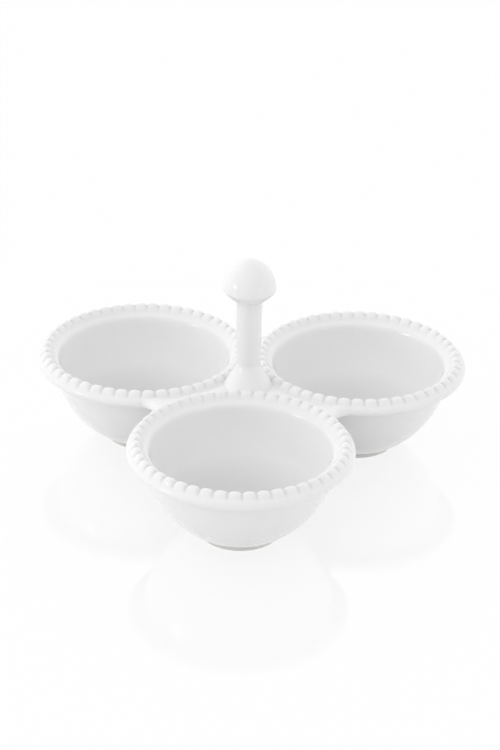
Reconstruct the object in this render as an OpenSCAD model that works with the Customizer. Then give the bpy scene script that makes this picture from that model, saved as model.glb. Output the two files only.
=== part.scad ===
// Three-bowl serving dish in glazed porcelain, with beaded rims and a knobbed
// centre handle. It is a potter's assembly: three cast bowls, each with an upstand
// that a beaded rim drops over and a foot ring under it, a web that fills the space
// between the rims, and a hollow stem and knob that plug into the web.
// The frame's origin is on the table, at the centre of the dish's footprint.

/* [Bowl] */
// Height of the tops of the beads above the table
rim_h = 54; // [44:0.5:64]
// Radius of the outside wall, level with the tops of the beads
wall_r = 51.2; // [48:0.1:54]
// Thickness of the wall
wall_t = 3.8; // [3:0.1:4.2]
// Thickness of the floor over the foot ring
floor_t = 3.7; // [2.5:0.1:5]
// Drop from the tops of the beads to the top of the upstand
upstand_drop = 4.6; // [3.6:0.1:5.6]
// Rounding of the mouth's inner edge
mouth_round = 1.9; // [1:0.1:2.2]

/* [Foot ring] */
// Outer radius of the foot ring
foot_r = 21.5; // [18:0.5:27]
// Width of the foot ring where it meets the bowl
foot_w = 4.2; // [3:0.1:6]
// Height of the foot ring
foot_h = 2.3; // [1.6:0.05:4]
// Draft of each side of the foot ring
foot_draft = 0.4; // [0.2:0.1:0.8]
// Rounding of the foot ring's lower edges
foot_round = 0.5; // [0.2:0.1:0.8]

/* [Beaded rim] */
// Thickness of the rim's skirt, which drops over the bowl's upstand
skirt_t = 1.3; // [1:0.05:1.6]
// Distance from the upstand out to the circle that the bead centres lie on
bead_reach = 4.9; // [4.65:0.05:5.15]
// Radius of each bead
bead_r = 3.3; // [3.1:0.05:3.5]
// Wanted distance from bead to bead, rounded to a whole number of beads
bead_pitch = 7; // [6.4:0.1:8]
// Radius of the roll that shows between the beads
roll_r = 2.1; // [1.8:0.05:2.4]
// Radius of the rounded lip outside the beads
lip_round = 2.9; // [2.6:0.05:3.1]
// Distance from the bead circle out to the edge of the lip
lip_reach = 5.1; // [4.85:0.05:5.45]
// Drop from the tops of the beads to the middle of the lip
lip_drop = 5.9; // [5.4:0.1:6.4]
// Radius of the cove between the lip and the bowl's wall
cove_r = 2.4; // [2:0.1:2.8]

/* [Web] */
// Gap between two neighbouring lips, which the web fills
lip_gap = 0.55; // [0.3:0.05:2]
// Drop from the tops of the beads to the web's top face
web_drop = 3.6; // [3:0.1:4.2]
// Thickness of the web
web_t = 5; // [4:0.1:6]
// Radius of the round notch where two lips part
notch_r = 8.5; // [6:0.5:11]
// Depth by which the notch cuts into the line of the lips
notch_bite = 0.35; // [0.2:0.05:0.6]

/* [Handle stem] */
// Radius of the stem under the knob
stem_top_r = 6.9; // [5.8:0.1:8]
// Radius of the stem above its flared foot
stem_low_r = 6.5; // [5.8:0.1:8]
// Height of the knob's seat above the tops of the beads
stem_h = 46.5; // [36:0.5:58]
// Radius of the flared foot where it meets the web
flare_r = 13.4; // [11.5:0.1:15]
// Height of the flared foot above the web
flare_h = 13; // [10:0.5:16]
// Curve of the flared foot's outline, 1 for a plain cone and more for a trumpet
flare_power = 1.3; // [1.1:0.05:2]
// Radius of the hollow in the stem
stem_bore_r = 3; // [2.2:0.1:3.6]
// Radius of the spigot that plugs into the web
spigot_r = 5; // [4.2:0.1:6]

/* [Knob] */
// Radius of the knob at its widest
knob_r = 14.1; // [11:0.1:17]
// Height of the domed part above the widest circle
dome_h = 16.7; // [12:0.1:20]
// Height of the underside below the widest circle
under_h = 6.4; // [4.5:0.1:8.5]
// Step from the stem's top out to the knob's neck
neck_step = 0.5; // [0.2:0.1:2]
// Thickness of the knob's wall
knob_wall = 4; // [3:0.1:5]
// Roundness of the dome's outline, 2 for an oval and less for a pointed dome
dome_power = 1.95; // [1.5:0.05:2.2]
// Roundness of the underside's outline, 2 for an oval and less for a cone
under_power = 1.2; // [1.1:0.05:2]
// Length of the knob's peg inside the stem
peg_h = 6; // [4:0.5:10]
// Radius of the vent through the knob's peg
vent_r = 1; // [0.8:0.1:1.5]

/* [Hidden] */
glaze = [0.94, 0.94, 0.935];
bare_clay = [0.9, 0.88, 0.84];
// Clearance all round a peg, spigot or upstand, which the slip fills
slip_gap = 0.1;
// Overrun of a cut past the face that it opens
overrun = 1;
// Place of the flank's end inside the rounding, as a share of the rounding's radius
flank_share = 0.9;
// Segments of a turned surface, and of a bead
turn_fn = 96;
bead_fn = 48;
// Steps along a curved stretch of an outline
curve_steps = 16;

// Direction of each bowl from the handle, in degrees
front_dir = -90;
left_dir = 150;
right_dir = 30;
directions = [front_dir, left_dir, right_dir];
lobes = len(directions);
lobe_step = 360 / lobes;

// The outside wall is a quarter of an ellipse that is cut off at the foot ring
wall_b = (rim_h - foot_h) / sqrt(1 - pow(foot_r / wall_r, 2));
foot_angle = acos(foot_r / wall_r);
// Angle on the ellipse at which the inside turns in to the flat floor
floor_angle = 50;

// The rim sits where the cove under its lip runs out into the wall
seat_drop = lip_drop + lip_round + cove_r;
seat_angle = asin(seat_drop / wall_b);
seat_r = wall_r * cos(seat_angle);
seat_z = rim_h - seat_drop;
upstand_r = seat_r - skirt_t;
upstand_z = rim_h - upstand_drop;
rim_bore_r = upstand_r + slip_gap;

bead_ring_r = upstand_r + bead_reach;
bead_z = rim_h - bead_r;
bead_count = round(2 * PI * bead_ring_r / bead_pitch);
lip_r = bead_ring_r + lip_reach;
lip_mid_r = lip_r - lip_round;
lip_mid_z = rim_h - lip_drop;

// Places of the bowls, whose lips nearly touch each other
bowl_dist = (2 * lip_r + lip_gap) / (2 * sin(lobe_step / 2));
// The handle stands behind the centre of the footprint, because one bowl lies in front
handle_y = (bowl_dist + bowl_dist * cos(lobe_step)) / 2;

web_z = rim_h - web_drop;
knob_seat_z = rim_h + stem_h;
knob_mid_z = knob_seat_z + under_h;

// A point of the outside wall at an angle below the level of the rim
function wall_point(a) = [wall_r * cos(a), rim_h - wall_b * sin(a)];
// The direction straight out of the wall at that point
function wall_out(a) =
    let (v = [wall_b * cos(a), -wall_r * sin(a)]) v / norm(v);
// A point of the inside wall, one thickness in from the outside
function inner_point(a) = wall_point(a) - wall_t * wall_out(a);
// Angles from a to b in equal steps
function steps(a, b, n = curve_steps) = [for (i = [0:n]) a + (b - a) * i / n];

// The inside of the floor rises from flat in the middle to the slope of the wall
floor_z = foot_h + floor_t;
floor_edge = inner_point(floor_angle);
floor_slope = wall_b * cos(floor_angle) / (wall_r * sin(floor_angle));
floor_power = floor_slope * floor_edge[0] / (floor_edge[1] - floor_z);
function floor_point(s) =
    [floor_edge[0] * s, floor_z + (floor_edge[1] - floor_z) * pow(s, floor_power)];

// The mouth's radius is where the inside wall reaches the upstand
mouth_r = inner_point(seat_angle)[0];
function mouth_point(a) =
    [mouth_r + mouth_round * (1 - cos(a)), upstand_z - mouth_round * (1 - sin(a))];

module at_bowl(direction) {
    translate([0, handle_y, 0])
        rotate([0, 0, direction])
            translate([bowl_dist, 0, 0])
                children();
}

module at_handle() {
    translate([0, handle_y, 0])
        children();
}

// Half section of a bowl: outside wall, flat bottom, floor, inside wall, mouth, upstand
module bowl_section() {
    outside = [for (a = steps(seat_angle, foot_angle)) wall_point(a)];
    floor_in = [for (s = steps(0, 1)) floor_point(s)];
    inside = [for (a = steps(floor_angle, seat_angle)) inner_point(a)];
    mouth = [for (a = steps(0, 90, curve_steps / 2)) mouth_point(a)];
    polygon(concat(
        outside,
        [[0, foot_h]],
        floor_in,
        [for (i = [1:len(inside) - 1]) inside[i]],
        mouth,
        [[upstand_r, upstand_z], [upstand_r, seat_z]]
    ));
}

module bowl() {
    color(glaze)
        rotate_extrude($fn = turn_fn)
            bowl_section();
}

// Half section of the rim without its beads; edge_r is the radius of the rounding
// along the bead circle
module rim_section(edge_r) {
    cove = [for (a = steps(90, 180, curve_steps / 2))
        [seat_r + cove_r + cove_r * cos(a), seat_z + cove_r * sin(a)]];
    // The inner flank rises from the top of the bore and ends just inside the rounding
    rise = [bead_ring_r - rim_bore_r, bead_z - upstand_z];
    flank_angle = atan2(rise[1], rise[0]) + asin(edge_r / norm(rise));
    flank_end = [bead_ring_r, bead_z]
        + flank_share * edge_r * [-sin(flank_angle), cos(flank_angle)];
    difference() {
        union() {
            translate([bead_ring_r, bead_z])
                circle(r = edge_r, $fn = turn_fn);
            translate([lip_mid_r, lip_mid_z])
                circle(r = lip_round, $fn = turn_fn);
            // The body of the rim, from the upstand over the flank out to the lip
            polygon(concat(
                [
                    [upstand_r, seat_z],
                    [upstand_r, upstand_z],
                    [rim_bore_r, upstand_z],
                    flank_end,
                    [bead_ring_r, bead_z],
                    [lip_mid_r, lip_mid_z],
                    [lip_mid_r, lip_mid_z - lip_round]
                ],
                cove
            ));
        }
        // The bore that drops over the upstand
        translate([0, seat_z - overrun])
            square([rim_bore_r, seat_drop + 2 * overrun]);
    }
}

module beaded_rim() {
    color(glaze) {
        rotate_extrude($fn = turn_fn)
            rim_section(roll_r);
        for (i = [0:bead_count - 1])
            rotate([0, 0, 360 * i / bead_count])
                translate([-bead_ring_r, 0, bead_z])
                    sphere(r = bead_r, $fn = bead_fn);
    }
}

// The space that a beaded rim takes up, turned smooth
module rim_space() {
    rotate_extrude($fn = turn_fn)
        rim_section(bead_r);
}

// Half section of the foot ring, with drafted sides and rounded lower edges
module foot_section() {
    inner_mid = foot_r - foot_w + foot_draft + foot_round;
    outer_mid = foot_r - foot_draft - foot_round;
    polygon(concat(
        [[foot_r - foot_w, foot_h], [foot_r, foot_h]],
        [for (a = steps(0, -90, curve_steps / 2))
            [outer_mid + foot_round * cos(a), foot_round + foot_round * sin(a)]],
        [for (a = steps(-90, -180, curve_steps / 2))
            [inner_mid + foot_round * cos(a), foot_round + foot_round * sin(a)]]
    ));
}

module foot_ring() {
    color(bare_clay)
        rotate_extrude($fn = turn_fn)
            foot_section();
}

// Outline of the web: bowl centres and notch centres in turn round the handle
module web_outline() {
    notch_reach = lip_r + notch_r - notch_bite;
    half_pair = bowl_dist * sin(lobe_step / 2);
    notch_dist = bowl_dist * cos(lobe_step / 2)
        + sqrt(pow(notch_reach, 2) - pow(half_pair, 2));
    difference() {
        polygon([for (i = [0:lobes - 1], p = [[bowl_dist, 0], [notch_dist, lobe_step / 2]])
            let (a = front_dir + i * lobe_step + p[1])
            p[0] * [cos(a), sin(a)]]);
        for (i = [0:lobes - 1])
            rotate(front_dir + i * lobe_step) {
                translate([bowl_dist, 0])
                    circle(r = bead_ring_r, $fn = turn_fn);
                rotate(lobe_step / 2)
                    translate([notch_dist, 0])
                        circle(r = notch_r, $fn = turn_fn);
            }
    }
}

module centre_web() {
    color(glaze) difference() {
        at_handle()
            translate([0, 0, web_z - web_t])
                linear_extrude(height = web_t)
                    web_outline();
        for (d = directions)
            at_bowl(d)
                rim_space();
        // Socket for the stem's spigot
        at_handle()
            translate([0, 0, web_z - web_t - overrun])
                cylinder(r = spigot_r + slip_gap, h = web_t + 2 * overrun, $fn = turn_fn);
    }
}

// Radius of the stem at a share of the height of its flared foot
function flare_radius(s) =
    stem_low_r + (flare_r - stem_low_r) * pow(1 - s, flare_power);

module stem_section() {
    flare = [for (s = steps(0, 1)) [flare_radius(s), web_z + flare_h * s]];
    polygon(concat(
        [[stem_bore_r, web_z - web_t], [spigot_r, web_z - web_t], [spigot_r, web_z]],
        flare,
        [[stem_top_r, knob_seat_z], [stem_bore_r, knob_seat_z]]
    ));
}

module handle_stem() {
    color(glaze) difference() {
        at_handle()
            rotate_extrude($fn = turn_fn)
                stem_section();
        for (d = directions)
            at_bowl(d)
                rim_space();
    }
}

// Quarter of an oval from its widest circle, of radius r at height z, to its end at radius
// end_r and height z + h; a power under 2 points the end
function oval(r, h, z, end_r = 0, power = 2) =
    [for (a = steps(0, 90))
        [end_r + (r - end_r) * pow(cos(a), 2 / power), z + h * pow(sin(a), 2 / power)]];

module knob_section() {
    peg_r = stem_bore_r - slip_gap;
    neck_r = stem_top_r + neck_step;
    hollow_r = knob_r - knob_wall;
    outside_top = oval(knob_r, dome_h, knob_mid_z, power = dome_power);
    outside_low = oval(knob_r, -under_h, knob_mid_z, end_r = neck_r, power = under_power);
    difference() {
        polygon(concat(
            [for (i = [len(outside_top) - 1:-1:1]) outside_top[i]],
            outside_low,
            [[peg_r, knob_seat_z], [peg_r, knob_seat_z - peg_h], [0, knob_seat_z - peg_h]]
        ));
        // Hollow of the knob, and its vent down through the peg
        polygon(concat(
            oval(hollow_r, dome_h - knob_wall, knob_mid_z, power = dome_power),
            [[0, knob_mid_z]]
        ));
        translate([0, knob_seat_z - peg_h - overrun])
            square([vent_r, peg_h + under_h + 2 * overrun]);
    }
}

module handle_knob() {
    color(glaze)
        at_handle()
            rotate_extrude($fn = turn_fn)
                knob_section();
}

at_bowl(front_dir) bowl();  // front_bowl
at_bowl(left_dir) bowl();  // left_bowl
at_bowl(right_dir) bowl();  // right_bowl
at_bowl(front_dir) beaded_rim();  // front_beaded_rim
at_bowl(left_dir) beaded_rim();  // left_beaded_rim
at_bowl(right_dir) beaded_rim();  // right_beaded_rim
at_bowl(front_dir) foot_ring();  // front_foot_ring
at_bowl(left_dir) foot_ring();  // left_foot_ring
at_bowl(right_dir) foot_ring();  // right_foot_ring
centre_web();
handle_stem();
handle_knob();
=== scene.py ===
"""Divided serving bowl in white glazed porcelain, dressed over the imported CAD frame.

Three deep bowls with beaded rims stand on low foot rings. A web joins the rims round
a stem with a knob. All lengths are in metres, in the frame's own axes: +Z up, -Y
towards the single front bowl, the origin on the table.
"""

import logging
import math
from dataclasses import dataclass
from enum import Enum
from typing import Any, Callable, Sequence

import bmesh
import bpy
from mathutils import Matrix, Vector


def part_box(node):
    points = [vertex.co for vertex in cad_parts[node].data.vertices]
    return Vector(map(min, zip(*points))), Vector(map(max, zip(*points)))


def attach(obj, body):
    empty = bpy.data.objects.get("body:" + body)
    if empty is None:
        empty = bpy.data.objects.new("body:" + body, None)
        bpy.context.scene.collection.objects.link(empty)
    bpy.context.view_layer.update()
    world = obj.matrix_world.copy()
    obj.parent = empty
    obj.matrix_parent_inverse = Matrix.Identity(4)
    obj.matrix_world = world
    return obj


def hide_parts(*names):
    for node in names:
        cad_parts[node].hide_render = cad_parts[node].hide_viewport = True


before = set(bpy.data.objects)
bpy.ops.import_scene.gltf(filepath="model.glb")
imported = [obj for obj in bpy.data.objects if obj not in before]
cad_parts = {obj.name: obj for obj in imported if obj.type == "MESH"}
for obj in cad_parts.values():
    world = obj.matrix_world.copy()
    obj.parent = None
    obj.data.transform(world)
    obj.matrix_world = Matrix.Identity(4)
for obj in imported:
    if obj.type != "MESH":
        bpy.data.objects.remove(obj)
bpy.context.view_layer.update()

log = logging.getLogger("serving_bowl")

Point = tuple[float, float]
Colour = tuple[float, float, float, float]

MM_PER_M = 1000
UP = Vector((0, 0, 1))
WHITE: Colour = (1, 1, 1, 1)
# The attribute that holds painted shade in the bowls' bottoms and the rims' grooves, with
# the glaze lying a little thicker there
POOL_AND_SHADE = "pool_and_shade"
# The like sectors of a turned piece, and the segments of each
TURN_SECTORS = 16
SECTOR_STEPS = 12
# The steps from one control point of a drawn line to the next
LINE_STEPS = 4
MERGE_DIST = 1e-6
SHARP_ANGLE = math.radians(42)


class Place(Enum):
    """The three bowls of the dish."""

    FRONT = "front"
    LEFT = "left"
    RIGHT = "right"


class Slot(Enum):
    """The record's material slots."""

    GLAZED = "glazed_porcelain"
    BARE = "bare_porcelain"


@dataclass(frozen=True)
class Layout:
    """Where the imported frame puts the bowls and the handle.

    Attributes:
        crest: The height of the pads' tops.
        lip_r: The radius of a rim's lip.
        handle: The handle's axis, on the table.
        bowls: Each bowl's centre, on the table.
    """

    crest: float
    lip_r: float
    handle: Vector
    bowls: dict[Place, Vector]

    @classmethod
    def from_frame(cls) -> "Layout":
        """Reads the places from the CAD nodes' boxes.

        Returns:
            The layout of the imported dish.
        """
        low, high = (Vector(c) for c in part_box("handle_knob"))
        handle = (low + high) / 2
        bowls = {}
        for place in Place:
            rim_low, rim_high = (Vector(c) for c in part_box(f"{place.value}_beaded_rim"))
            centre = (rim_low + rim_high) / 2
            bowls[place] = Vector((centre.x, centre.y, 0))
        return cls(
            crest=rim_high.z,
            lip_r=(rim_high.x - rim_low.x) / 2,
            handle=Vector((handle.x, handle.y, 0)),
            bowls=bowls,
        )

    def bearing(self, place: Place) -> float:
        """Gives the direction from a bowl's centre to the handle, in radians."""
        way = self.handle - self.bowls[place]
        return math.atan2(way.y, way.x)

    def middle(self) -> Vector:
        """Gives the point of the handle's axis at the pads' height."""
        return self.handle + UP * self.crest


def smooth_line(line: Sequence[Point], base: Point, ways: Point) -> list[Point]:
    """Draws a smooth curve through control points given in millimetres.

    Args:
        line: The control points, as distances from the base along radius and height.
        base: The radius and height that they are measured from, in metres.
        ways: 1 or -1 for radius and for height, the way that each is measured.

    Returns:
        The curve's points in metres, the first and last control points included.
    """
    ends = [line[0], *line, line[-1]]
    curve = []
    for a, b, c, d in zip(ends, ends[1:], ends[2:], ends[3:]):
        for i in range(LINE_STEPS):
            t = i / LINE_STEPS
            curve.append([
                0.5 * (2 * b[k] + (c[k] - a[k]) * t
                       + (2 * a[k] - 5 * b[k] + 4 * c[k] - d[k]) * t ** 2
                       + (3 * b[k] - a[k] - 3 * c[k] + d[k]) * t ** 3)
                for k in (0, 1)])
    curve.append(line[-1])
    return [(base[0] + ways[0] * r / MM_PER_M, base[1] + ways[1] * h / MM_PER_M)
            for r, h in curve]


def arc(centre: Point, radius: float, start: float, end: float, steps: int) -> list[Point]:
    """Draws part of a circle.

    Args:
        centre: The circle's centre, as radius and height.
        radius: Its radius.
        start: The first angle in degrees.
        end: The last angle in degrees.
        steps: The number of steps.

    Returns:
        The arc's points, both ends included.
    """
    angles = [math.radians(start + (end - start) * i / steps) for i in range(steps + 1)]
    return [(centre[0] + radius * math.cos(a), centre[1] + radius * math.sin(a))
            for a in angles]


def add_object(name: str, data: bpy.types.ID) -> bpy.types.Object:
    """Makes an object from its data and adds it to the scene.

    Args:
        name: The object's name.
        data: Its mesh, lamp or camera.

    Returns:
        The new object.
    """
    made = bpy.data.objects.new(name, data)
    bpy.context.scene.collection.objects.link(made)
    return made


class Form:
    """One piece while it is being shaped, and the object that it becomes."""

    def __init__(self) -> None:
        """Starts an empty form."""
        self.bm = bmesh.new()

    def sector(self, outline: Sequence[Point], closed: bool, sectors: int = TURN_SECTORS,
               steps: int = SECTOR_STEPS) -> "Form":
        """Turns a half section through the first of several like sectors.

        Args:
            outline: The section's points, as radius and height. An open outline starts
                and ends on the axis.
            closed: Whether the last point joins the first.
            sectors: The number of sectors of the full turn.
            steps: The number of segments of each.

        Returns:
            The form, whose vertices hold their place in the outline as "row".
        """
        row = self.bm.verts.layers.int.new("row")
        half = math.pi / sectors
        verts = []
        for i, (r, z) in enumerate(outline):
            vert = self.bm.verts.new((r * math.cos(half), -r * math.sin(half), z))
            vert[row] = i
            verts.append(vert)
        ring = verts + verts[:1] if closed else verts
        edges = [self.bm.edges.new(pair) for pair in zip(ring, ring[1:])]
        bmesh.ops.spin(
            self.bm, geom=verts + edges, cent=(0, 0, 0), axis=UP, dvec=(0, 0, 0),
            angle=2 * half, steps=steps, use_merge=False, use_duplicate=False)
        return self

    def repeat(self, sectors: int = TURN_SECTORS) -> "Form":
        """Repeats the first sector all the way round and closes the seams.

        Args:
            sectors: The number of sectors of the full turn.

        Returns:
            The form itself.
        """
        bmesh.ops.spin(
            self.bm, geom=self.bm.verts[:] + self.bm.edges[:] + self.bm.faces[:],
            cent=(0, 0, 0), axis=UP, dvec=(0, 0, 0), angle=math.tau, steps=sectors,
            use_merge=True, use_duplicate=True)
        return self.close()

    def turn(self, outline: Sequence[Point], closed: bool) -> "Form":
        """Turns a half section all the way round, as on a potter's wheel.

        Args:
            outline: The section's points, as radius and height. An open outline starts
                and ends on the axis.
            closed: Whether the last point joins the first.

        Returns:
            The form itself.
        """
        return self.sector(outline, closed).repeat()

    def close(self) -> "Form":
        """Merges doubles, also at seams and poles, and points all faces outwards."""
        bmesh.ops.remove_doubles(self.bm, verts=self.bm.verts, dist=MERGE_DIST)
        bmesh.ops.recalc_face_normals(self.bm, faces=self.bm.faces)
        return self

    def shift(self, offset: Vector) -> "Form":
        """Moves the whole form by an offset."""
        bmesh.ops.translate(self.bm, verts=self.bm.verts, vec=offset)
        return self

    def piece(self, name: str,
              pool_and_shade: Callable[[Vector], float] | None = None) -> bpy.types.Object:
        """Makes the form an object of the scene.

        Args:
            name: The object's name.
            pool_and_shade: How much shade is painted at a point, where the glaze also lies
            thicker, from 0 to 1, or None where it is even.

        Returns:
            The new object, at the origin, with its place in its mesh.
        """
        mesh = bpy.data.meshes.new(name)
        self.bm.to_mesh(mesh)
        self.bm.free()
        mesh.shade_smooth()
        mesh.set_sharp_from_angle(angle=SHARP_ANGLE)
        layer = mesh.attributes.new(POOL_AND_SHADE, "FLOAT", "POINT")
        if pool_and_shade is not None:
            layer.data.foreach_set("value", [pool_and_shade(v.co) for v in mesh.vertices])
        return add_object(name, mesh)


class Wire:
    """A value of a node tree that takes part in written sums."""

    def __init__(self, recipe: "Recipe", socket: bpy.types.NodeSocket) -> None:
        """Wraps an output socket of a recipe's tree."""
        self.recipe = recipe
        self.socket = socket

    def _sum(self, operation: str, first: Any, second: Any) -> "Wire":
        """Adds a Math node for one step of a sum."""
        return self.recipe.node(
            "ShaderNodeMath", {"operation": operation}, {0: first, 1: second})

    def __add__(self, other: Any) -> "Wire":
        """Adds a number or another value."""
        return self._sum("ADD", self, other)

    __radd__ = __add__

    def __mul__(self, other: Any) -> "Wire":
        """Multiplies by a number or another value."""
        return self._sum("MULTIPLY", self, other)

    __rmul__ = __mul__

    def __sub__(self, other: Any) -> "Wire":
        """Takes a number or another value away."""
        return self._sum("SUBTRACT", self, other)

    def __rsub__(self, other: Any) -> "Wire":
        """Takes this value away from a number."""
        return self._sum("SUBTRACT", other, self)

    def __gt__(self, other: Any) -> "Wire":
        """Gives 1 where this value is the larger one."""
        return self._sum("GREATER_THAN", self, other)

    def at_most(self, other: Any) -> "Wire":
        """Gives the smaller of this value and another."""
        return self._sum("MINIMUM", self, other)

    def at_least(self, other: Any) -> "Wire":
        """Gives the larger of this value and another."""
        return self._sum("MAXIMUM", self, other)

    def to_power(self, exponent: float) -> "Wire":
        """Raises this value to a power."""
        return self._sum("POWER", self, exponent)


@dataclass(frozen=True)
class Clouds:
    """A cloudy pattern.

    Attributes:
        size: The size of its blotches in metres.
        detail: How many finer layers it has.
        seed: A shift that makes one pattern differ from another.
    """

    size: float
    detail: float
    seed: float


class Recipe:
    """The node tree of one material or of the world."""

    def __init__(self, owner: bpy.types.Material | bpy.types.World) -> None:
        """Empties the owner's tree and starts it again with its output node."""
        owner.use_nodes = True
        self.tree = owner.node_tree
        self.tree.nodes.clear()
        kind = "ShaderNodeOutputWorld" if isinstance(owner, bpy.types.World) \
            else "ShaderNodeOutputMaterial"
        self.output = self.tree.nodes.new(kind)

    def node(self, kind: str, settings: dict[str, Any] | None = None,
             inputs: dict[int | str, Any] | None = None, output: int | str = 0) -> Wire:
        """Adds one node.

        Args:
            kind: The node's type.
            settings: The node's settings, set before its sockets.
            inputs: The value or wire of each socket, by its name or number.
            output: The output socket to return.

        Returns:
            The chosen output of the new node.
        """
        node = self.tree.nodes.new(kind)
        for name, value in (settings or {}).items():
            setattr(node, name, value)
        for name, value in (inputs or {}).items():
            if isinstance(value, Wire):
                self.tree.links.new(value.socket, node.inputs[name])
            else:
                node.inputs[name].default_value = value
        return Wire(self, node.outputs[output])

    def mix_colours(self, factor: Any, first: Any, second: Any) -> Wire:
        """Mixes two colours.

        Args:
            factor: The share of the second colour.
            first: The first colour, or a wire with it.
            second: The second colour, or a wire with it.

        Returns:
            The mixed colour.
        """
        # The sockets for colours come after those for numbers and vectors
        return self.node(
            "ShaderNodeMix", {"data_type": "RGBA"}, {0: factor, 6: first, 7: second},
            output=2)

    def mix_shaders(self, factor: Any, first: Wire, second: Wire) -> Wire:
        """Mixes two shaders by a factor."""
        return self.node("ShaderNodeMixShader", None, {0: factor, 1: first, 2: second})

    def dot(self, where: Wire, way: Vector) -> Wire:
        """Gives the dot product of a direction and a fixed one."""
        return self.node("ShaderNodeVectorMath", {"operation": "DOT_PRODUCT"},
                         {0: where, 1: way}, output="Value")

    def clouds(self, where: Wire, pattern: Clouds) -> Wire:
        """Adds a cloudy pattern.

        Args:
            where: The coordinates.
            pattern: What the pattern is like.

        Returns:
            The pattern's value, from 0 to 1.
        """
        return self.node("ShaderNodeTexNoise", {"noise_dimensions": "4D"}, {
            "Vector": where, "W": pattern.seed, "Scale": 1 / pattern.size,
            "Detail": pattern.detail})

    def bump(self, height: Wire) -> Wire:
        """Gives the normals of a surface whose height is given in metres."""
        return self.node(
            "ShaderNodeBump", None, {"Strength": 1.0, "Distance": 1.0, "Height": height})

    def seen(self) -> Wire:
        """Gives 1 for the camera and for what mirrors and glass show, else 0."""
        paths = [self.node("ShaderNodeLightPath", output=name)
                 for name in ("Is Camera Ray", "Is Glossy Ray", "Is Transmission Ray")]
        return (paths[0] + paths[1] + paths[2]).at_most(1.0)

    def finish(self, surface: Wire) -> None:
        """Links the surface to the output."""
        self.tree.links.new(surface.socket, self.output.inputs["Surface"])


@dataclass(frozen=True)
class GlazedPorcelain:
    """White gloss glaze over fired porcelain, with a rare faint speck."""

    name: str = "white_glaze"
    colour: Colour = (0.87, 0.87, 0.87, 1)
    thin: Colour = (0.895, 0.895, 0.892, 1)
    # Painted shade for the bowls' bottoms and the rims' grooves, where the glaze also lies
    # a little thicker
    pooled_and_shaded: Colour = (0.7, 0.702, 0.706, 1)
    tint: Clouds = Clouds(0.03, 3.0, 1.7)
    speck: Colour = (0.62, 0.58, 0.52, 1)
    speck_strength: float = 0.6
    # The cells per metre with one speck each, a speck's radius as a share of a cell, and
    # how sharp its edge is
    speck_cells: float = 260.0
    speck_share: float = 0.055
    speck_edge: float = 40
    # Specks show only where this pattern is above the level
    speck_patches: Clouds = Clouds(0.006, 1.0, 9.1)
    speck_level: float = 0.62
    roughness: float = 0.055
    roughness_drift: float = 0.05
    smears: Clouds = Clouds(0.009, 2.0, 4.2)
    ior: float = 1.52
    waves: Clouds = Clouds(0.014, 1.0, 2.6)
    wave_height: float = 0.00011
    peel: Clouds = Clouds(0.0028, 1.0, 6.3)
    peel_height: float = 0.000004

    def material(self) -> bpy.types.Material:
        """Makes the glaze's material.

        Returns:
            The material, which reads object coordinates and the attribute of painted
            shade and thicker glaze.
        """
        material = bpy.data.materials.new(self.name)
        recipe = Recipe(material)
        where = recipe.node("ShaderNodeTexCoord", output="Object")
        pool_and_shade = recipe.node("ShaderNodeAttribute", {"attribute_name": POOL_AND_SHADE}, output="Fac")
        tint = recipe.clouds(where, self.tint)
        colour = recipe.mix_colours(tint, self.thin, self.colour)
        # Painted shade in the bowls' bottoms and the rims' grooves, with a little thicker
        # glaze
        colour = recipe.mix_colours(pool_and_shade, colour, self.pooled_and_shaded)
        cells = recipe.node(
            "ShaderNodeTexVoronoi", {"feature": "F1"},
            {"Vector": where, "Scale": self.speck_cells}, output="Distance")
        shown = recipe.clouds(where, self.speck_patches) > self.speck_level
        specks = (self.speck_share - cells) * self.speck_edge * shown
        specks = recipe.node(
            "ShaderNodeClamp", None, {"Value": specks * self.speck_strength})
        colour = recipe.mix_colours(specks, colour, self.speck)
        smears = recipe.clouds(where, self.smears)
        relief = recipe.clouds(where, self.waves) * self.wave_height \
            + recipe.clouds(where, self.peel) * self.peel_height
        recipe.finish(recipe.node("ShaderNodeBsdfPrincipled", None, {
            "Base Color": colour,
            "Roughness": smears * self.roughness_drift + self.roughness,
            "IOR": self.ior,
            "Normal": recipe.bump(relief),
        }))
        return material


@dataclass(frozen=True)
class BarePorcelain:
    """Unglazed porcelain, ground smooth where it stands."""

    name: str = "bare_clay"
    colour: Colour = (0.84, 0.83, 0.805, 1)
    worn: Colour = (0.86, 0.85, 0.82, 1)
    scuffs: Clouds = Clouds(0.005, 4.0, 8.8)
    roughness: float = 0.36
    roughness_drift: float = 0.2
    grain: Clouds = Clouds(0.0006, 3.0, 3.3)
    grain_height: float = 0.00003

    def material(self) -> bpy.types.Material:
        """Makes the bare clay's material.

        Returns:
            The material, which reads object coordinates alone.
        """
        material = bpy.data.materials.new(self.name)
        recipe = Recipe(material)
        where = recipe.node("ShaderNodeTexCoord", output="Object")
        grain = recipe.clouds(where, self.grain)
        wear = recipe.clouds(where, self.scuffs) * grain
        recipe.finish(recipe.node("ShaderNodeBsdfPrincipled", None, {
            "Base Color": recipe.mix_colours(wear, self.colour, self.worn),
            "Roughness": grain * self.roughness_drift + self.roughness,
            "Normal": recipe.bump(grain * self.grain_height),
        }))
        return material


def finish_piece(piece: bpy.types.Object, material: bpy.types.Material,
                 node: str) -> None:
    """Gives a piece its finish and ties it to the frame.

    Args:
        piece: The piece.
        material: Its material.
        node: The CAD node that the piece stands for.
    """
    piece.data.materials.append(material)
    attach(piece, "root")
    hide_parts(node)
    log.info("%s: %d faces", piece.name, len(piece.data.polygons))


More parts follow.
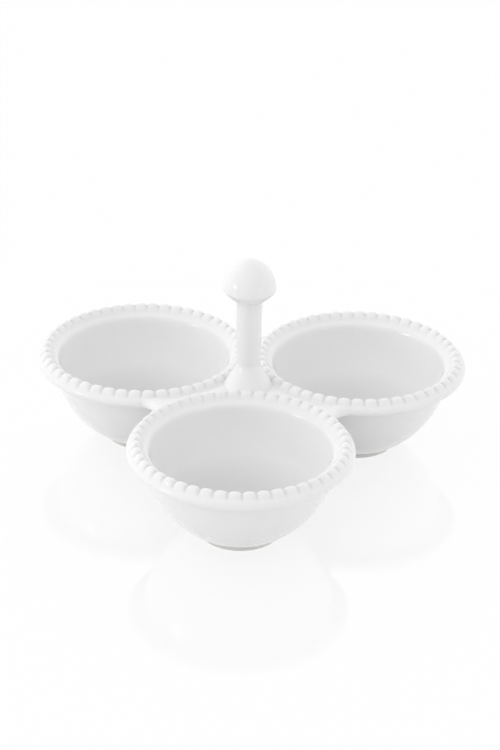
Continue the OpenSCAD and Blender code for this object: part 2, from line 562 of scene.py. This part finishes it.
@dataclass
class DeepBowl:
    """One round bowl: outside wall, flat bottom, floor, inside wall and mouth."""

    layout: Layout
    place: Place
    # The outside wall is an ellipse with its centre on the axis, at the crest's height
    wall_r: float = 0.0512
    wall_depth: float = 0.05697
    wall_t: float = 0.0038
    wall_steps: int = 44
    foot_r: float = 0.0215
    foot_z: float = 0.0023
    foot_shares: tuple[float, ...] = (0, 0.3, 0.6, 0.85, 0.97)
    # The inside wall turns into the floor at this angle below the rim
    turn_in: float = math.radians(50)
    floor_z: float = 0.006
    floor_steps: int = 26
    # The shoulder under the rim, which reaches a little up behind the rim's cove and
    # rises to the upstand
    seat_drop: float = 0.0112
    tuck: float = 0.001
    shoulder_rise: float = 0.0002
    # The upstand inside the rim: its radius, how far the two points of its top edge lie
    # below the mouth, and how far the upper one lies in
    upstand_r: float = 0.0493
    edge_drops: Point = (0.0006, 0.0001)
    edge_in: float = 0.0002
    # Section of the mouth from the rim inwards, as millimetres of radius and down from
    # the crest
    mouth_line: tuple[Point, ...] = (
        (48.98, 4.61), (48.55, 4.83), (48.05, 5.2), (47.55, 5.85), (47.18, 6.8),
        (46.92, 7.9), (46.7, 9.2))
    # Where the painted shade inside starts, with the glaze lying thicker, and how far down
    # it takes to its full darkness, as shares of the wall's depth
    pool_and_shade_share: float = 0.55
    pool_and_shade_span_share: float = 0.36

    def _wall(self, angle: float, inwards: float) -> Point:
        """Gives a point of the wall.

        Args:
            angle: Its angle below the rim on the wall's ellipse, in radians.
            inwards: Its distance in from the outside.

        Returns:
            The point, as radius and height.
        """
        out = Vector((self.wall_depth * math.cos(angle), -self.wall_r * math.sin(angle)))
        out.normalize()
        return (self.wall_r * math.cos(angle) - inwards * out.x,
                self.layout.crest - self.wall_depth * math.sin(angle) - inwards * out.y)

    def _wall_line(self, start: float, end: float, inwards: float = 0.0) -> list[Point]:
        """Draws part of the wall.

        Args:
            start: The first angle below the rim, in radians.
            end: The last angle.
            inwards: The distance in from the outside.

        Returns:
            The line's points, both ends included.
        """
        steps = self.wall_steps
        return [self._wall(start + (end - start) * i / steps, inwards)
                for i in range(steps + 1)]

    def _floor_line(self, edge: Point) -> list[Point]:
        """Draws the floor from the end of the inside wall to the axis.

        Args:
            edge: The end of the inside wall, where the floor takes up its slope.

        Returns:
            The floor's points after the edge.
        """
        edge_r, edge_z = edge
        slope = self.wall_depth * math.cos(self.turn_in) \
            / (self.wall_r * math.sin(self.turn_in))
        power = slope * edge_r / (edge_z - self.floor_z)
        shares = [1 - i / self.floor_steps for i in range(1, self.floor_steps + 1)]
        return [(edge_r * s, self.floor_z + (edge_z - self.floor_z) * s ** power)
                for s in shares]

    def section(self) -> list[Point]:
        """Draws the bowl's half section from the axis below to the axis above.

        Returns:
            The section's points.
        """
        crest = self.layout.crest
        foot_angle = math.acos(self.foot_r / self.wall_r)
        seat_angle = math.asin(self.seat_drop / self.wall_depth)
        tuck_angle = math.asin((self.seat_drop - self.tuck) / self.wall_depth)
        bottom = [(self.foot_r * s, self.foot_z) for s in self.foot_shares]
        outside = self._wall_line(foot_angle, tuck_angle)
        mouth = smooth_line(self.mouth_line, (0, crest), (1, -1))
        low_edge, high_edge = (mouth[0][1] - drop for drop in self.edge_drops)
        upstand = [
            (self.upstand_r, crest - self.seat_drop + self.tuck + self.shoulder_rise),
            (self.upstand_r, low_edge), (self.upstand_r - self.edge_in, high_edge)]
        inside = self._wall_line(seat_angle, self.turn_in, self.wall_t)
        return bottom + outside + upstand + mouth + inside + self._floor_line(inside[-1])

    def _pool_and_shade(self, co: Vector) -> float:
        """Gives painted shade and thicker glaze at a point: darker to the bottom inside.

        Args:
            co: The point.

        Returns:
            The share of painted shade and thicker glaze, from 0 to 1.
        """
        way = co - self.layout.bowls[self.place]
        across = math.hypot(way.x, way.y) / (self.wall_r - self.wall_t / 2)
        down = (self.layout.crest - co.z) / (self.wall_depth - self.wall_t / 2)
        if across ** 2 + down ** 2 > 1:
            return 0.0
        # Painted shade, darker towards the bottom of the inside
        return min(1.0, max(0.0, (down - self.pool_and_shade_share) / self.pool_and_shade_span_share))

    def build(self) -> bpy.types.Object:
        """Turns the bowl and sets it in its place.

        Returns:
            The bowl's object.
        """
        form = Form().turn(self.section(), closed=False)
        form.shift(self.layout.bowls[self.place])
        return form.piece(f"{self.place.value}_deep_bowl", pool_and_shade=self._pool_and_shade)

    def dress(self, piece: bpy.types.Object, glaze: bpy.types.Material) -> None:
        """Glazes the bowl and ties it to the frame."""
        finish_piece(piece, glaze, f"{self.place.value}_bowl")


@dataclass
class BeadedRim:
    """The moulded rim: a ring of pads with grooves between them, a lip and a cove."""

    layout: Layout
    place: Place
    bead_count: int = 48
    steps_per_bead: int = 16
    # Across a pad the height falls with this power up to this share of its half width,
    # and then runs out in a soft valley
    pad_power: float = 2.8
    valley_share: float = 0.88
    lip_round: float = 0.0029
    lip_drop: float = 0.0059
    lip_steps: int = 12
    # The cove between lip and seat, an arc that ends at this angle in degrees
    cove_r: float = 0.0024
    cove_end: float = 170
    cove_steps: int = 9
    seat_r: float = 0.0502
    seat_drop: float = 0.0112
    # The hidden toe, which reaches into the bowl's shoulder
    toe_in: float = 0.0006
    toe_drop: float = 0.0008
    # The bore, which ends a little below the inner edge of the pads
    bore_r: float = 0.0489
    bore_edge: float = 0.0002
    # Sections over a pad and along a groove, as millimetres in from the lip's edge and
    # down from the crest
    pad_line: tuple[Point, ...] = (
        (9.9, 4.6), (9.1, 4.05), (8.5, 3.3), (7.8, 2.1), (6.9, 0.9), (6.0, 0.2),
        (5.1, 0.0), (4.0, 0.35), (3.0, 1.3), (2.3, 2.6), (1.9, 3.2), (1.0, 3.85),
        (0.3, 4.8), (0.0, 5.9))
    groove_line: tuple[Point, ...] = (
        (9.9, 4.6), (9.1, 4.0), (8.3, 3.25), (7.4, 2.4), (6.4, 1.65), (5.4, 1.3),
        (4.6, 1.3), (3.8, 1.8), (3.2, 2.55), (2.5, 3.05), (1.9, 3.25), (1.0, 3.85),
        (0.3, 4.8), (0.0, 5.9))
    # The circle round which shade is painted in the grooves, where the glaze also lies
    # thicker, and how far to each side
    pool_and_shade_r: float = 0.0538
    pool_and_shade_reach: float = 0.0042

    def _pad_height(self, share: float) -> float:
        """Gives how far the surface rises from groove to pad.

        Args:
            share: The place across one pad, from -0.5 in one groove to 0.5 in the next.

        Returns:
            The height, from 0 in the groove to 1 on top.
        """
        s = abs(2 * share)
        p, v = self.pad_power, self.valley_share
        base = 1 - v ** p - p * v ** (p - 1) * (1 - v) / 2
        if s <= v:
            height = 1 - s ** p
        else:
            height = base + p * v ** (p - 1) / (2 * (1 - v)) * (1 - s) ** 2
        return (height - base) / (1 - base)

    def _beads_round(self, way: Vector, bearing: float = 0.0) -> float:
        """Gives the direction of a point as a number of beads from a bearing."""
        return (math.atan2(way.y, way.x) - bearing) / math.tau * self.bead_count

    def _sections(self) -> tuple[list[Point], list[Point]]:
        """Draws the closed half sections along a groove and over a pad.

        Returns:
            Both sections, point for point.
        """
        lip_r, crest = self.layout.lip_r, self.layout.crest
        groove, pad = (smooth_line(line, (lip_r, crest), (-1, -1))
                       for line in (self.groove_line, self.pad_line))
        lip_mid = (lip_r - self.lip_round, crest - self.lip_drop)
        seat_z = crest - self.seat_drop
        cove_mid = (self.seat_r + self.cove_r, seat_z)
        toe_z = seat_z - self.toe_drop
        rest = [
            *arc(lip_mid, self.lip_round, 0, -90, self.lip_steps)[1:],
            *arc(cove_mid, self.cove_r, 90, self.cove_end, self.cove_steps),
            (self.seat_r - self.toe_in, toe_z), (self.bore_r, toe_z),
            (self.bore_r, groove[0][1] - self.bore_edge)]
        return groove + rest, pad + rest

    def _raise_pad(self, form: Form, groove: list[Point], pad: list[Point]) -> None:
        """Raises the middle of the first sector from the groove to the pad.

        Args:
            form: The form, with one sector of the groove's section.
            groove: The section along a groove.
            pad: The section over a pad.
        """
        row = form.bm.verts.layers.int["row"]
        for vert in form.bm.verts:
            (groove_r, groove_z), (pad_r, pad_z) = groove[vert[row]], pad[vert[row]]
            rise = self._pad_height(self._beads_round(vert.co))
            grown = (groove_r + (pad_r - groove_r) * rise) / groove_r
            vert.co.x *= grown
            vert.co.y *= grown
            vert.co.z = groove_z + (pad_z - groove_z) * rise

    def _pool_and_shade(self, co: Vector) -> float:
        """Gives painted shade and thicker glaze at a point: darker between the pads.

        Args:
            co: The point.

        Returns:
            The share of painted shade and thicker glaze, from 0 to 1.
        """
        way = co - self.layout.bowls[self.place]
        beads = self._beads_round(way, self.layout.bearing(self.place))
        near = 1 - self._pad_height(beads - round(beads))
        off = abs(math.hypot(way.x, way.y) - self.pool_and_shade_r)
        # Painted shade in the grooves between the pads
        return near ** 2 * max(0.0, 1 - off / self.pool_and_shade_reach)

    def build(self) -> bpy.types.Object:
        """Turns the groove's section and raises the pads out of it.

        Returns:
            The rim's object.
        """
        groove, pad = self._sections()
        form = Form().sector(
            groove, closed=True, sectors=self.bead_count, steps=self.steps_per_bead)
        self._raise_pad(form, groove, pad)
        form.repeat(self.bead_count)
        bearing = self.layout.bearing(self.place)
        bmesh.ops.rotate(form.bm, verts=form.bm.verts, cent=(0, 0, 0),
                         matrix=Matrix.Rotation(bearing, 3, "Z"))
        form.shift(self.layout.bowls[self.place])
        return form.piece(f"{self.place.value}_bead_rim", pool_and_shade=self._pool_and_shade)

    def dress(self, piece: bpy.types.Object, glaze: bpy.types.Material) -> None:
        """Glazes the rim and ties it to the frame."""
        finish_piece(piece, glaze, f"{self.place.value}_beaded_rim")


@dataclass
class FootRing:
    """A low foot ring with drafted sides and a ground standing edge."""

    layout: Layout
    place: Place
    radius: float = 0.0215
    width: float = 0.0042
    height: float = 0.0023
    draft: float = 0.0002
    edge_round: float = 0.00025
    edge_steps: int = 8
    # How far the top narrows and how far it reaches into the bowl
    sunk_in: float = 0.0002
    sunk: float = 0.0003

    def section(self) -> list[Point]:
        """Draws the ring's closed half section.

        Returns:
            The section's points.
        """
        outer, inner = self.radius, self.radius - self.width
        low_in = inner + self.draft + self.edge_round
        low_out = outer - self.draft - self.edge_round
        top_z = self.height + self.sunk
        return [
            (outer - self.sunk_in, top_z), (outer, self.height),
            (outer - self.draft / 2, self.height / 2),
            *arc((low_out, self.edge_round), self.edge_round, 0, -90, self.edge_steps),
            *arc((low_in, self.edge_round), self.edge_round, -90, -180, self.edge_steps),
            (inner + self.draft / 2, self.height / 2),
            (inner, self.height), (inner + self.sunk_in, top_z)]

    def build(self) -> bpy.types.Object:
        """Turns the ring and sets it under its bowl.

        Returns:
            The ring's object.
        """
        form = Form().turn(self.section(), closed=True)
        return form.shift(self.layout.bowls[self.place]).piece(f"{self.place.value}_foot")

    def dress(self, piece: bpy.types.Object, clay: bpy.types.Material) -> None:
        """Gives the ring its bare clay and ties it to the frame."""
        finish_piece(piece, clay, f"{self.place.value}_foot_ring")


@dataclass
class CentreWeb:
    """The web between the three rims: three tongues that end in rounded notches."""

    layout: Layout
    # The notch where two lips part: its radius, how far it bites into the lips, and how
    # far its arc runs on into them, in radians
    notch_r: float = 0.0085
    notch_bite: float = 0.00035
    past: float = 0.13
    lip_round: float = 0.0029
    lip_drop: float = 0.0059
    valley_drop: float = 0.0036
    # How far from the handle's axis a tongue starts
    root: float = 0.005
    rows: int = 26
    root_rows: int = 2
    rounding_rows: int = 12
    columns: int = 40
    # How late a tongue's sides turn into the notch's arc, and how sharply its skins
    # close at the rims
    blend_power: int = 5
    close_power: int = 8
    # Where on its way out a tongue starts to thicken to the lips' round
    thicken_share: float = 0.72

    def _skin(self, share: float) -> tuple[float, float]:
        """Follows a tongue's skin over its upper side, round the notch and back below.

        Args:
            share: The way along the skin, from 0 at the root above to 1 below.

        Returns:
            The way out from root to notch, from 0 to 1, and the skin's lean in radians,
            from a quarter turn above to minus a quarter turn below.
        """
        total = self.rows * 2 + self.rounding_rows
        step = share * total
        if step <= self.rows:
            return step / self.rows, math.pi / 2
        if step >= self.rows + self.rounding_rows:
            return (total - step) / self.rows, -math.pi / 2
        return 1.0, math.pi / 2 - math.pi * (step - self.rows) / self.rounding_rows

    def _tongue(self, share: float, across: float) -> tuple[float, float, float]:
        """Gives a point of a tongue's skin.

        Args:
            share: The way along the skin, 0 at the root above, 0.5 at the notch's edge
                and 1 at the root below.
            across: The place from one rim, -1, to the other, 1.

        Returns:
            The distance out from the handle, the distance across and the height.
        """
        layout = self.layout
        spots = list(layout.bowls.values())
        half_pair = (spots[1] - spots[0]).length / 2
        out_dist = (spots[0] - layout.handle).length
        foot = math.sqrt(out_dist ** 2 - half_pair ** 2)
        tube_r = layout.lip_r - self.lip_round
        reach = layout.lip_r + self.notch_r - self.notch_bite
        notch = foot + math.sqrt(reach ** 2 - half_pair ** 2)
        span = math.atan2(half_pair, notch - foot) + self.past
        along, lean = self._skin(share)

        arc_r = self.notch_r + self.lip_round * (1 - math.cos(lean))
        arc_out = notch - arc_r * math.cos(across * span)
        arc_side = arc_r * math.sin(across * span)
        out = self.root + (arc_out - self.root) * along
        side = across * (half_pair - math.sqrt(max(tube_r ** 2 - (out - foot) ** 2, 0)))
        side += (arc_side - side) * along ** self.blend_power

        ease = max(0.0, (along - self.thicken_share) / (1 - self.thicken_share))
        ease = ease * ease * (3 - 2 * ease)
        valley = self.lip_drop - self.valley_drop
        thick = valley + (self.lip_round - valley) * ease
        closing = math.sqrt(max(0.0, 1 - abs(across) ** self.close_power))
        if abs(across) < 1:
            closing += (1 - closing) * ease
        root_close = min(1.0, along * self.rows / self.root_rows)
        mid = layout.crest - self.lip_drop
        return out, side, mid + thick * math.sin(lean) * closing * root_close

    def build(self) -> bpy.types.Object:
        """Shapes the three tongues between the bowls.

        Returns:
            The web's object.
        """
        form = Form()
        handle = self.layout.handle
        spots = list(self.layout.bowls.values())
        for here, after in zip(spots, spots[1:] + spots[:1]):
            away = ((here + after) / 2 - handle).normalized()
            aside = Vector((-away.y, away.x, 0))
            grid = bmesh.ops.create_grid(
                form.bm, x_segments=self.rows * 2 + self.rounding_rows,
                y_segments=self.columns, size=1.0)
            for vert in grid["verts"]:
                out, side, z = self._tongue((vert.co.x + 1) / 2, vert.co.y)
                place = handle + away * out + aside * side
                vert.co = (place.x, place.y, z)
        return form.close().piece("centre_bridge")

    def dress(self, piece: bpy.types.Object, glaze: bpy.types.Material) -> None:
        """Glazes the web and ties it to the frame."""
        finish_piece(piece, glaze, "centre_web")


@dataclass
class Handle:
    """The stem with its flared foot, and the domed knob."""

    layout: Layout
    web_drop: float = 0.0036
    # How far the stem's foot reaches into the web, and the bevel of its lower edge
    sunk: float = 0.002
    sunk_edge: float = 0.001
    flare_r: float = 0.0134
    flare_h: float = 0.013
    flare_power: float = 1.3
    flare_steps: int = 30
    stem_low_r: float = 0.0065
    stem_top_r: float = 0.0068
    stem_h: float = 0.0465
    shaft_steps: int = 40
    # The stem widens a little under the knob
    swell_r: float = 0.0004
    swell_h: float = 0.007
    # The knob's widest circle, the dome above it and the cone below it
    knob_r: float = 0.0141
    dome_h: float = 0.0167
    dome_power: float = 1.95
    dome_steps: int = 40
    under_h: float = 0.0064
    under_power: float = 1.2
    under_steps: int = 20
    neck_r: float = 0.0074
    # The soft corner between the knob's underside and the stem, as millimetres out from
    # the stem's end and up from the knob's seat
    corner_line: tuple[Point, ...] = (
        (1.75, 1.0), (1.15, 0.5), (0.7, 0.0), (0.48, -0.6), (0.42, -1.3))
    # The underside ends this far outside the corner, and the neck closes this far inside
    # the stem
    corner_gap: float = 0.0003
    neck_in: float = 0.0006

    def _oval(self, height: float, end_r: float, power: float, steps: int) -> list[Point]:
        """Draws a quarter of an oval from the knob's widest circle to its end.

        Args:
            height: How far the end lies above the widest circle, or below if negative.
            end_r: The radius of the end.
            power: 2 for an oval, and less for a pointed one.
            steps: The number of steps.

        Returns:
            The oval's points.
        """
        mid_z = self.layout.crest + self.stem_h + self.under_h
        points = []
        for i in range(steps + 1):
            a = math.pi / 2 * i / steps
            points.append((end_r + (self.knob_r - end_r) * math.cos(a) ** (2 / power),
                           mid_z + height * math.sin(a) ** (2 / power)))
        return points

    def build_stem(self) -> bpy.types.Object:
        """Turns the stem with its flared foot.

        Returns:
            The stem's object.
        """
        low_z = self.layout.crest - self.web_drop
        flare = []
        for i in range(self.flare_steps + 1):
            s = i / self.flare_steps
            swell = (1 - s) ** self.flare_power
            flare.append((self.stem_low_r + (self.flare_r - self.stem_low_r) * swell,
                          low_z + self.flare_h * s))
        top_z = self.layout.crest + self.stem_h
        shaft_h = top_z - low_z - self.flare_h
        shaft = []
        for i in range(1, self.shaft_steps + 1):
            t = i / self.shaft_steps
            swell = max(0.0, 1 - (1 - t) * shaft_h / self.swell_h) ** 2
            shaft.append((self.stem_low_r + (self.stem_top_r - self.stem_low_r) * t
                          + self.swell_r * swell, top_z - shaft_h * (1 - t)))
        outline = [
            (0, low_z - self.sunk), (self.flare_r - self.sunk_edge, low_z - self.sunk),
            (self.flare_r, low_z - self.sunk_edge), *flare, *shaft, (0, top_z)]
        return Form().turn(outline, closed=False).shift(self.layout.handle).piece("stem")

    def build_knob(self) -> bpy.types.Object:
        """Turns the knob.

        Returns:
            The knob's object.
        """
        seat_z = self.layout.crest + self.stem_h
        dome = self._oval(self.dome_h, 0.0, self.dome_power, self.dome_steps)
        # The cosine of a right angle leaves a trace of a radius at the pole
        dome[-1] = (0.0, dome[-1][1])
        corner = smooth_line(self.corner_line, (self.stem_top_r, seat_z), (1, 1))
        cone = self._oval(-self.under_h, self.neck_r, self.under_power, self.under_steps)
        under = [point for point in cone if point[0] > corner[0][0] + self.corner_gap]
        end_z = corner[-1][1]
        outline = [*reversed(dome), *under[1:], *corner,
                   (self.stem_top_r - self.neck_in, end_z), (0, end_z)]
        return Form().turn(outline, closed=False).shift(self.layout.handle).piece("knob")

    def dress(self, stem: bpy.types.Object, knob: bpy.types.Object,
              glaze: bpy.types.Material) -> None:
        """Glazes stem and knob and ties them to the frame."""
        finish_piece(stem, glaze, "handle_stem")
        finish_piece(knob, glaze, "handle_knob")


def direction(azimuth: float, elevation: float) -> Vector:
    """Gives the way from the dish to a place round it.

    Args:
        azimuth: The angle from the front towards the right, in radians.
        elevation: The angle above the table, in radians.

    Returns:
        The unit vector.
    """
    return Vector((math.sin(azimuth) * math.cos(elevation),
                   -math.cos(azimuth) * math.cos(elevation), math.sin(elevation)))


def upright_axes(back: Vector) -> Matrix:
    """Gives the axes of a camera or lamp that stands upright.

    Args:
        back: The unit vector away from what it is aimed at.

    Returns:
        The matrix with right, up and back as its columns.
    """
    right = UP.cross(back).normalized()
    return Matrix((right, back.cross(right), back)).transposed()


@dataclass
class Camera:
    """The photograph's view, solved from the rims' circles.

    The lens, the small shift of the aim and the longer side of the frame are given in
    the photograph's pixels.
    """

    layout: Layout
    azimuth: float = math.radians(2.5)
    elevation: float = math.radians(27.32)
    distance: float = 1.2135
    roll: float = math.radians(1.1)
    focal_px: float = 2256.0
    aim_px: Point = (1.91, 2.72)
    frame_px: float = 750.0
    sensor_width: float = 36.0

    def build(self) -> None:
        """Makes the camera and hands it to the scene."""
        target = self.layout.middle()
        back = direction(self.azimuth, self.elevation)
        place = target + back * self.distance
        right, up, _ = upright_axes(back).transposed()
        per_px = self.distance / self.focal_px
        turn = Matrix.Rotation(self.roll, 3, back)
        aim = target + turn @ (right * self.aim_px[0] + up * self.aim_px[1]) * per_px
        back = (place - aim).normalized()
        axes = Matrix.Rotation(self.roll, 3, back) @ upright_axes(back)
        data = bpy.data.cameras.new("camera")
        data.sensor_width = self.sensor_width
        data.lens = self.focal_px * data.sensor_width / self.frame_px
        camera = add_object("camera", data)
        camera.matrix_world = Matrix.Translation(place) @ axes.to_4x4()
        bpy.context.scene.camera = camera


@dataclass(frozen=True)
class SoftBox:
    """One rectangular studio lamp, aimed at the dish, with its angles in degrees."""

    name: str
    azimuth: float
    elevation: float
    distance: float
    width: float
    height: float
    radiance: float

    def build(self, target: Vector) -> None:
        """Hangs the lamp.

        Args:
            target: The point that it is aimed at.
        """
        back = direction(math.radians(self.azimuth), math.radians(self.elevation))
        data = bpy.data.lights.new(self.name, "AREA")
        data.shape = "RECTANGLE"
        data.size = self.width
        data.size_y = self.height
        data.energy = self.radiance * math.pi * self.width * self.height
        place = Matrix.Translation(target + back * self.distance)
        add_object(self.name, data).matrix_world = place @ upright_axes(back).to_4x4()


@dataclass(frozen=True)
class Glow:
    """One soft region of light in the surroundings.

    Attributes:
        towards: The direction of its middle.
        power: How narrow it is.
        strength: Its light in the middle.
        low: Whether it fades towards the zenith.
    """

    towards: tuple[float, float, float]
    power: float
    strength: float
    low: bool = False

    def radiance(self, recipe: Recipe, way: Wire) -> Wire:
        """Gives the region's light for a direction.

        Args:
            recipe: The world's recipe.
            way: The direction.

        Returns:
            The light, which a low region loses towards the zenith.
        """
        facing = recipe.dot(way, Vector(self.towards).normalized())
        light = facing.at_least(0.0).to_power(self.power) * self.strength
        return light * (1 - recipe.dot(way, UP)) if self.low else light


@dataclass
class Studio:
    """The pale glossy table, the soft lamps and the white surroundings."""

    layout: Layout
    floor_half: float = 3.0
    floor_colour: Colour = (0.9, 0.9, 0.9, 1)
    # How much of the floor's white shows flat, beside the part that takes the shadow
    flat_share: float = 0.93
    mirror_ior: float = 1.75
    mirror_roughness: float = 0.03
    # The even light of the surroundings, the soft regions on top of it, and the lamps
    fill: float = 0.01
    glows: tuple[Glow, ...] = (
        Glow((0, 1, 0), 2, 1.35, low=True),
        Glow((-1, 0, 0), 2, 1.15, low=True),
        Glow((1, 0, 0), 2, 1.65, low=True),
        Glow((0, 1, 1), 4, 0.8),
        Glow((-1, 0, 1), 4, 1.08),
        Glow((0, -1, 1), 4, 1.0),
        Glow((1, 0, 1), 4, 0.3),
    )
    lamps: tuple[SoftBox, ...] = (
        SoftBox("key_lamp", -66, 9, 1.3, 0.28, 0.2, 5.5),
        SoftBox("side_lamp", 52, 4, 1.3, 0.3, 0.06, 4.5),
    )

    def _table_material(self) -> bpy.types.Material:
        """Makes the table's material: white to the eye, with a shadow and a mirror.

        Returns:
            The material.
        """
        material = bpy.data.materials.new("white_table")
        recipe = Recipe(material)
        lit = recipe.node("ShaderNodeBsdfDiffuse", None, {"Color": self.floor_colour})
        flat = recipe.node(
            "ShaderNodeEmission", None, {"Color": WHITE, "Strength": 1.0})
        base = recipe.mix_shaders(recipe.seen() * self.flat_share, lit, flat)
        mirror = recipe.node("ShaderNodeBsdfAnisotropic", None, {
            "Color": WHITE, "Roughness": self.mirror_roughness})
        fresnel = recipe.node("ShaderNodeFresnel", None, {"IOR": self.mirror_ior})
        recipe.finish(recipe.mix_shaders(fresnel, base, mirror))
        return material

    def build_floor(self) -> None:
        """Lays the table top."""
        bm = bmesh.new()
        bmesh.ops.create_grid(bm, x_segments=1, y_segments=1, size=self.floor_half)
        mesh = bpy.data.meshes.new("table_top")
        bm.to_mesh(mesh)
        bm.free()
        mesh.materials.append(self._table_material())
        floor = add_object("table_top", mesh)

    def build_world(self) -> None:
        """Makes the surroundings white to the eye and soft as a lamp."""
        world = bpy.data.worlds.new("studio")
        recipe = Recipe(world)
        way = recipe.node("ShaderNodeTexCoord", output="Generated")
        strength = sum((glow.radiance(recipe, way) for glow in self.glows), self.fill)
        light = recipe.node(
            "ShaderNodeBackground", None, {"Color": WHITE, "Strength": strength})
        white = recipe.node(
            "ShaderNodeBackground", None, {"Color": WHITE, "Strength": 1.0})
        recipe.finish(recipe.mix_shaders(recipe.seen(), light, white))
        bpy.context.scene.world = world

    def build(self) -> None:
        """Sets up table, lamps and surroundings."""
        self.build_floor()
        self.build_world()
        for lamp in self.lamps:
            lamp.build(self.layout.middle())


def main() -> None:
    """Builds the dish piece by piece, then the studio and the camera."""
    logging.basicConfig(level=logging.INFO, format="%(name)s: %(message)s")
    bpy.context.scene.view_settings.view_transform = "Standard"
    layout = Layout.from_frame()
    glaze = GlazedPorcelain().material()
    clay = BarePorcelain().material()
    for place in Place:
        bowl = DeepBowl(layout, place)
        bowl.dress(bowl.build(), glaze)
        rim = BeadedRim(layout, place)
        rim.dress(rim.build(), glaze)
        foot = FootRing(layout, place)
        foot.dress(foot.build(), clay)
    web = CentreWeb(layout)
    web.dress(web.build(), glaze)
    handle = Handle(layout)
    handle.dress(handle.build_stem(), handle.build_knob(), glaze)
    Studio(layout).build()
    Camera(layout).build()


if __name__ == "__main__":
    main()
